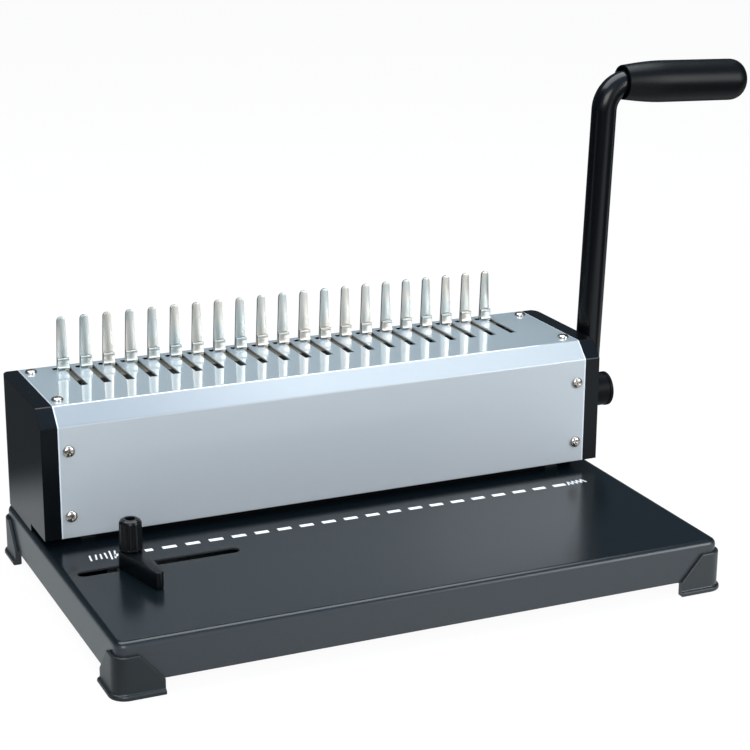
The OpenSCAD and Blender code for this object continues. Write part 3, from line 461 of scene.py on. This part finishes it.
def foot_stations():
    """(place, outward, distance from the corner) along the skirt's outline."""
    turns = 10
    straight = [foot_len, foot_len - 0.6 * MM, 20 * MM, 16 * MM, foot_level, 9 * MM]
    bend = Vector((-corner_r, -corner_r))
    stations = [(Vector((-d, 0)), Vector((0, 1)), d) for d in straight]
    for k in range(turns + 1):
        out = Vector((math.sin(k * math.pi / 2 / turns), math.cos(k * math.pi / 2 / turns)))
        stations.append((bend + out * corner_r, out, corner_r))
    stations += [(Vector((0, -d)), Vector((1, 0)), d) for d in reversed(straight)]
    return stations


def foot_mesh(name, side_x, side_y):
    """A foot for the corner on the given sides, with its shape in the machine's frame."""
    shape = bmesh.new()
    rings = []
    for place, out, distance in foot_stations():
        slant = min(1.0, max(0.0, (distance - foot_level) / (foot_len - foot_level)))
        top = foot_top + (foot_end_top - foot_top) * slant
        section = [(u * MM, z * MM) for u, z in bead_section]
        section.append((wall_u, max(top - wall_drop, wall_least)))
        section += [(u * MM, top - down * MM) for u, down in lip_section]
        section += [(wall_gap, skirt_low + skirt_gap), (inner_u, skirt_low + skirt_gap)]
        rings.append([shape.verts.new((*(place + out * u), z)) for u, z in section])
    for first, second in zip(rings, rings[1:]):
        for k in range(len(first)):
            j = (k + 1) % len(first)
            shape.faces.new((first[k], first[j], second[j], second[k]))
    shape.faces.new(list(reversed(rings[0])))
    shape.faces.new(rings[-1])
    end = -foot_len + ledge_inset
    inset = inner_u + ledge_inset
    ledge = soft_prism([(end, end), (inset, end), (inset, inset), (end, inset)], ledge_low,
                       skirt_low - skirt_gap, 0)
    angles = [k * math.tau / boss_sides for k in range(boss_sides)]
    boss = soft_prism([(boss_r * math.cos(a) - screw_in, boss_r * math.sin(a) - screw_in)
                       for a in angles], boss_low, ledge_low + boss_into_ledge, 0)
    for part in (ledge, boss):
        shape.from_mesh(as_mesh("foot_part", part))
    corner = Vector((tray_high.x if side_x > 0 else tray_low.x,
                     tray_high.y if side_y > 0 else tray_low.y, 0))
    turn = Matrix.Translation(corner) @ Matrix.Diagonal((side_x, side_y, 1, 1))
    return as_mesh(name, shape, turn)


for end_name, side_y in (("front", -1), ("rear", 1)):
    for hand, side_x in (("left", -1), ("right", 1)):
        node = f"foot_{end_name}_{hand}"
        place_piece(f"moulded_{node}", foot_mesh(node, side_x, side_y), foot_black,
                    "machine_body", "black_plastic", node)

# ------------------------------------------------------------ silver cover
# Sheet steel in silver lacquer. Its level top is polished brighter than its
# front, and mirrors the fingers that stand on it.
silver, tree = new_material("silver_lacquer")
front_silver, chamfer_shade_silver = (0.405, 0.435, 0.46), (0.255, 0.285, 0.315)
top_silver, end_highlight_silver, slot_shade_black = (0.345, 0.40, 0.43), (0.66, 0.70, 0.76), (0.004, 0.004, 0.005)
cover_middle_x, cover_half = -57.471 * MM, 172 * MM
end_line_start, end_line_full = 0.95 * MM, 0.6 * MM
chamfer_shade_from, chamfer_shade_to = -60 * MM, -215 * MM
notch_front, notch_back = 105.0 * MM, 105.5 * MM
front_coat, more_top_coat = 0.1, 0.9
# How far a surface faces up, on the front, the chamfer and the top, or forwards
front_to, chamfer_from, chamfer_to, top_from = 0.3, 0.6, 0.75, 0.92
forwards_from, forwards_full = -0.6, -0.9
across, away = (coordinate(tree, "Object", axis) for axis in "XY")
facing, towards = (coordinate(tree, "Normal", axis) for axis in "ZY")
upward = fade(tree, facing, chamfer_to, top_from)
# painted shade: the chamfer's left end, which faces the left lamp, is painted darker
chamfer_left_shade = times(tree, fade(tree, facing, front_to, chamfer_from),
                     fade(tree, across, chamfer_shade_from, chamfer_shade_to))
# painted highlight: the cut ends of the sheet are painted as a thin pale line beside the caps
from_middle = times(tree, times(tree, across, cover_middle_x, "SUBTRACT"), 0, "ABSOLUTE")
sheet_end_highlight = fade(tree, from_middle, cover_half - end_line_start, cover_half - end_line_full)
# and painted shade: the edges of the slots behind the fingers, which face the operator, are
# painted black
notch = times(tree, fade(tree, away, notch_front, notch_back),
              fade(tree, towards, forwards_from, forwards_full))
silver_colour = blend(tree, chamfer_left_shade, front_silver, chamfer_shade_silver)
silver_colour = blend(tree, upward, silver_colour, top_silver)
silver_colour = blend(tree, sheet_end_highlight, silver_colour, end_highlight_silver)
silver_colour = blend(tree, notch, silver_colour, slot_shade_black)
coat = times(tree, times(tree, 1.0, notch, "SUBTRACT"), front_coat)
coat = times(tree, times(tree, upward, more_top_coat), coat, "ADD")
rough, flakes, smooth = grained(tree, 0.42, 0.05, 2500, 0.002 * MM, 0.7 * MM, samples=6)
surface_of(tree, Base_Color=silver_colour, Metallic=0.18, Roughness=rough, Normal=flakes,
           Coat_Weight=coat, Coat_Roughness=0.03, Coat_IOR=2.9, Coat_Normal=smooth)
dress(silver, "top_cover")

# ------------------------------------------------------------ cover screws
# Pan-head screws with a cross recess, warm nickel plate gone a little dull.
screw_nickel = finish_material("screw_nickel", (0.56, 0.52, 0.47), 0.2, 0.1, 900, 0.01 * MM,
                               metallic=1.0, edge_radius=0.15 * MM)
head_r, head_h, rim_h, head_round = 3.6 * MM, 2.2 * MM, 0.5 * MM, 0.8
recess_long, recess_wide, recess_deep = 3.6 * MM, 0.75 * MM, 1.1 * MM
head_profile = [(head_r - 0.15 * MM, -0.05 * MM), (head_r, 0.15 * MM), (head_r, rim_h)]
head_profile += [(head_r * math.cos(a) ** head_round, rim_h + (head_h - rim_h) * math.sin(a))
                 for a in (0.25, 0.5, 0.75, 1.0, 1.25, 1.45)]
head = bmesh.new()
rim = None
around = 28
for radius, height in head_profile:
    ring = [head.verts.new((radius * math.cos(k * math.tau / around),
                            radius * math.sin(k * math.tau / around), height))
            for k in range(around)]
    if rim is None:
        head.faces.new(list(reversed(ring)))
    else:
        for k in range(around):
            j = (k + 1) % around
            head.faces.new((rim[k], rim[j], ring[j], ring[k]))
    rim = ring
head.faces.new(rim)
head_mesh = as_mesh("screw_head", head)

# Four screws in the cover's top and four in its front, each turned its own way
screw_tree, given, result = geometry_tree("cover_screw_places", {
    "Row Length": "NodeSocketFloat", "Top Depth": "NodeSocketFloat",
    "Front Height": "NodeSocketFloat", "Top Middle": "NodeSocketVector",
    "Front Middle": "NodeSocketVector", "Recess Long": "NodeSocketVector",
    "Recess Across": "NodeSocketVector", "Recess Place": "NodeSocketVector",
    "Finish": "NodeSocketMaterial"})
arms = []
for label in ("Recess Long", "Recess Across"):
    arm = add_node(screw_tree, "GeometryNodeMeshCube", {"Size": given[label]})
    arms.append(add_node(screw_tree, "GeometryNodeTransform",
                         {"Geometry": arm.outputs[0], "Translation": given["Recess Place"]}))
screw_cut = add_node(screw_tree, "GeometryNodeMeshBoolean", {0: given["Geometry"]},
                     operation="DIFFERENCE")
for arm in arms:
    screw_tree.links.new(arm.outputs[0], screw_cut.inputs[1])
spin = add_node(screw_tree, "FunctionNodeRandomValue",
                {"Max": (0.0, 0.0, math.pi / 2), "Seed": 5}, data_type="FLOAT_VECTOR")
both_faces = add_node(screw_tree, "GeometryNodeJoinGeometry")
for depth_name, middle_name, tilt in (("Top Depth", "Top Middle", 0.0),
                                      ("Front Height", "Front Middle", math.pi / 2)):
    corners = add_node(screw_tree, "GeometryNodeMeshGrid",
                       {"Size X": given["Row Length"], "Size Y": given[depth_name],
                        "Vertices X": 2, "Vertices Y": 2})
    copies = add_node(screw_tree, "GeometryNodeInstanceOnPoints",
                      {"Points": corners.outputs[0], "Instance": screw_cut.outputs[0],
                       "Rotation": spin.outputs[0]})
    solid = add_node(screw_tree, "GeometryNodeRealizeInstances", {0: copies.outputs[0]})
    stood = add_node(screw_tree, "GeometryNodeTransform",
                     {"Geometry": solid.outputs[0], "Translation": given[middle_name],
                      "Rotation": (tilt, 0.0, 0.0)})
    screw_tree.links.new(stood.outputs[0], both_faces.inputs[0])
screw_finish = add_node(screw_tree, "GeometryNodeSetMaterial",
                        {"Geometry": both_faces.outputs[0], "Material": given["Finish"]})
screw_tree.links.new(screw_finish.outputs[0], result.inputs[0])

cover_low, cover_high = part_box("top_cover")
screw_row, top_spacing, front_spacing = 332 * MM, 58 * MM, 39.5 * MM
top_screws_y, front_screws_z = 76.9 * MM, 69.25 * MM
screw_set = grown(head_mesh, screw_tree, {
    "Row Length": screw_row, "Top Depth": top_spacing, "Front Height": front_spacing,
    "Top Middle": (cover_middle_x, top_screws_y, cover_high.z),
    "Front Middle": (cover_middle_x, cover_low.y, front_screws_z),
    "Recess Long": (recess_long, recess_wide, 2 * recess_deep),
    "Recess Across": (recess_wide, recess_long, 2 * recess_deep),
    "Recess Place": (0.0, 0.0, head_h), "Finish": screw_nickel})
place_piece("cross_head_screws", screw_set, None, "machine_body", "bright_nickel",
            "cover_screws")

# ------------------------------------------------------------ comb fingers
# Stamped steel blades with round tips and rolled edges, bright nickel plate
# with a faint warm and cool cloud of painted reflection over it.
nickel, tree = new_material("bright_nickel")
cool_reflected_nickel, warm_reflected_nickel = (0.52, 0.56, 0.55), (0.63, 0.595, 0.54)
place = add_node(tree, "ShaderNodeTexCoord").outputs["Object"]
# painted reflection: a noise cloud that tints the nickel warmer or cooler
cloud = add_node(tree, "ShaderNodeTexNoise", {"Vector": place, "Scale": 38.0, "Detail": 2.0})
reflection_warmth = fade(tree, cloud.outputs["Fac"], 0.38, 0.62)
rough, plating, _ = grained(tree, 0.36, 0.1, 700, 0.006 * MM, 0.2 * MM)
surface_of(tree, Base_Color=blend(tree, reflection_warmth, cool_reflected_nickel, warm_reflected_nickel), Metallic=1.0,
           Roughness=rough, Normal=plating)

cover_top = cover_high.z
finger_mid_x = -1.75 * MM
finger_front_y, finger_thick = 106.5 * MM, 1.6 * MM
finger_wide, finger_tip_r, finger_high = 7.2 * MM, 2.5 * MM, 32.4 * MM
blade_foot, tip_steps, blade_soft = 16 * MM, 14, 0.25 * MM
blade = [(-finger_wide / 2, -blade_foot), (finger_wide / 2, -blade_foot), (finger_wide / 2, 0)]
blade += [(finger_tip_r * math.cos(k * math.pi / tip_steps),
           finger_high - finger_tip_r + finger_tip_r * math.sin(k * math.pi / tip_steps))
          for k in range(tip_steps + 1)]
blade.append((-finger_wide / 2, 0))
stand_up = Matrix.Rotation(math.pi / 2, 4, "X")
finger = as_mesh("finger", soft_prism(blade, 0, finger_thick, blade_soft), stand_up)
fingers = row_of(finger, nickel, finger_mid_x, finger_front_y + finger_thick, cover_top)
place_piece("nickel_fingers", fingers, None, "machine_body", "bright_nickel", "comb_fingers")

# Hooks: a strip bent up out of the slot, with a rolled top edge and a round lip
# where it leaves the cover, that holds the foot of its finger from the front.
# Its side is (towards the operator if below 0, up), in millimetres.
hook_rear_y, hook_wide, hook_soft = 105.8 * MM, 7.0 * MM, 0.3 * MM
hook_side = [(0, 7.0), (-0.25, 7.15), (-0.9, 7.2), (-1.6, 7.05), (-1.85, 6.6), (-1.8, 6.1),
             (-1.5, 5.8), (-1.45, 5.2), (-1.5, 3.6), (-1.5, 2.3), (-1.7, 1.8), (-2.05, 1.5),
             (-2.2, 1.05), (-2.05, 0.7), (-1.5, 0.55), (0, 0.55)]
# The turn that lays a prism on its side, with its outline in Y and Z
on_edge = Matrix(((0, 0, 1, 0), (1, 0, 0, 0), (0, 1, 0, 0), (0, 0, 0, 1)))
hook = bmesh.new()
head_side = [(y * MM, z * MM) for y, z in hook_side]
hook.from_mesh(as_mesh("hook_head", soft_prism(head_side, -hook_wide / 2, hook_wide / 2,
                                               hook_soft), on_edge))
stem_left, stem_right = 0.7 * MM, hook_wide / 2 - 0.02 * MM
stem_low, stem_high, stem_thick, stem_soft = -3.3 * MM, 0.9 * MM, 1.5 * MM, 0.15 * MM
stem_side = [(-stem_thick, stem_low), (0, stem_low), (0, stem_high), (-stem_thick, stem_high)]
hook.from_mesh(as_mesh("hook_stem", soft_prism(stem_side, stem_left, stem_right, stem_soft),
                       on_edge))
hooks = row_of(as_mesh("hook", hook), nickel, finger_mid_x, hook_rear_y, cover_top)
place_piece("nickel_hooks", hooks, None, "opener", "bright_nickel", "opener_hooks")

plate_zinc = finish_material("plate_zinc", (0.34, 0.31, 0.25), 0.38, 0.1, 700, 0.01 * MM,
                             metallic=1.0, edge_radius=0.3 * MM)
dress(plate_zinc, "opener_plate")

# ------------------------------------------------------------ inner steel
# Zinc plated and ground parts of the drive, which show through the slots.
zinc = finish_material("zinc_plate", (0.62, 0.63, 0.64), 0.32, 0.1, 900, 0.01 * MM, metallic=1.0)
dress(zinc, "foot_screws", "frame_screws", "guide_posts", "return_spring_left",
      "return_spring_right", "slide_rails", "drive_shaft", "guide_stud", "drawer_runners")
tool_steel = finish_material("ground_tool_steel", (0.42, 0.43, 0.44), 0.35, 0.1, 1200, 0.01 * MM,
                             metallic=1.0)
dress(tool_steel, "side_frame_left", "side_frame_right", "upper_rail", "punch_pinion_left",
      "punch_pinion_right", "opener_pinion_left", "opener_pinion_right", "punch_bar",
      "punch_pins", "punch_rack_left", "punch_rack_right", "opener_rack_left",
      "opener_rack_right")
# Blackened steel. The guide nut, the finger bar and the die spacers also take this black, as
# painted shade in the slot, the notches and the throat
black_steel_and_shade = finish_material("blackened_steel_and_shade", (0.012, 0.013, 0.014), 0.45, 0.1, 1200,
                              0.01 * MM, specular=0.2)
dress(black_steel_and_shade, "die_plate", "die_spacers", "paper_stop", "punch_guide_plate", "finger_bar",
      "guide_nut")
brass = finish_material("bush_brass", (0.69, 0.53, 0.28), 0.3, 0.1, 900, 0.01 * MM, metallic=1.0)
dress(brass, "shaft_bush_left", "shaft_bush_right")

# ------------------------------------------------------------ handle
# A tube in glossy black paint, on a duller moulded hub, with a satin grip.
arm_paint = finish_material("arm_paint", (0.0015, 0.002, 0.003), 0.2, 0.05, 500, 0.01 * MM,
                            specular=0.3)
dress(arm_paint, "handle_arm")
hub_black = finish_material("hub_plastic", (0.0015, 0.002, 0.003), 0.45, 0.1, 1600, 0.02 * MM,
                            specular=0.1)
dress(hub_black, "handle_hub", "hub_plug")
grip_black = finish_material("grip_plastic", (0.0008, 0.0012, 0.002), 0.34, 0.1, 1800, 0.04 * MM,
                             specular=0.15)
dress(grip_black, "handle_grip")

# ------------------------------------------------------------ edge guide
# A moulded arm with well rounded edges, clamped in its slot by the fluted knob.
guide_low, guide_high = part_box("edge_guide")
guide_boss_r, guide_nose_r, guide_reach = 7.2 * MM, 2.9 * MM, 35.3 * MM
guide_x, guide_y = -201.571 * MM, -14.7 * MM
nose_x, nose_y = guide_boss_r - guide_nose_r, -guide_reach
boss_steps, nose_steps, key_steps = 30, 12, 8
# Round the boss up to the slanting side that touches both arcs, then round the nose
slant_turn = math.tau + 2 * math.atan2(nose_y, nose_x)
guide_plan = [(guide_x + guide_boss_r * math.cos(k * slant_turn / boss_steps),
               guide_y + guide_boss_r * math.sin(k * slant_turn / boss_steps))
              for k in range(boss_steps + 1)]
for k in range(nose_steps + 1):
    angle = slant_turn + (math.tau - slant_turn) * k / nose_steps
    guide_plan.append((guide_x + nose_x + guide_nose_r * math.cos(angle),
                       guide_y + nose_y + guide_nose_r * math.sin(angle)))
above_bed, key_top, guide_soft = 0.3 * MM, 0.6 * MM, 0.9 * MM
guide = bmesh.new()
guide.from_mesh(as_mesh("guide_arm", soft_prism(guide_plan, bed_top + above_bed, guide_high.z,
                                                guide_soft, 3)))
# and the key under it, which runs in the slot
key_half, key_r = 7.0 * MM, 3.7 * MM
key_plan = [(guide_x + side * (key_half - key_r) + key_r * math.cos(side_turn + a),
             guide_y + key_r * math.sin(side_turn + a))
            for side, side_turn in ((1, -math.pi / 2), (-1, math.pi / 2))
            for a in (k * math.pi / key_steps for k in range(key_steps + 1))]
guide.from_mesh(as_mesh("guide_key", soft_prism(key_plan, guide_low.z, bed_top + key_top, 0)))
guide_black = finish_material("guide_plastic", (0.0018, 0.0028, 0.004), 0.3, 0.08, 1600,
                              0.02 * MM, specular=0.22)
place_piece("rounded_edge_guide", as_mesh("rounded_edge_guide", guide), guide_black,
            "edge_guide", "black_plastic", "edge_guide")
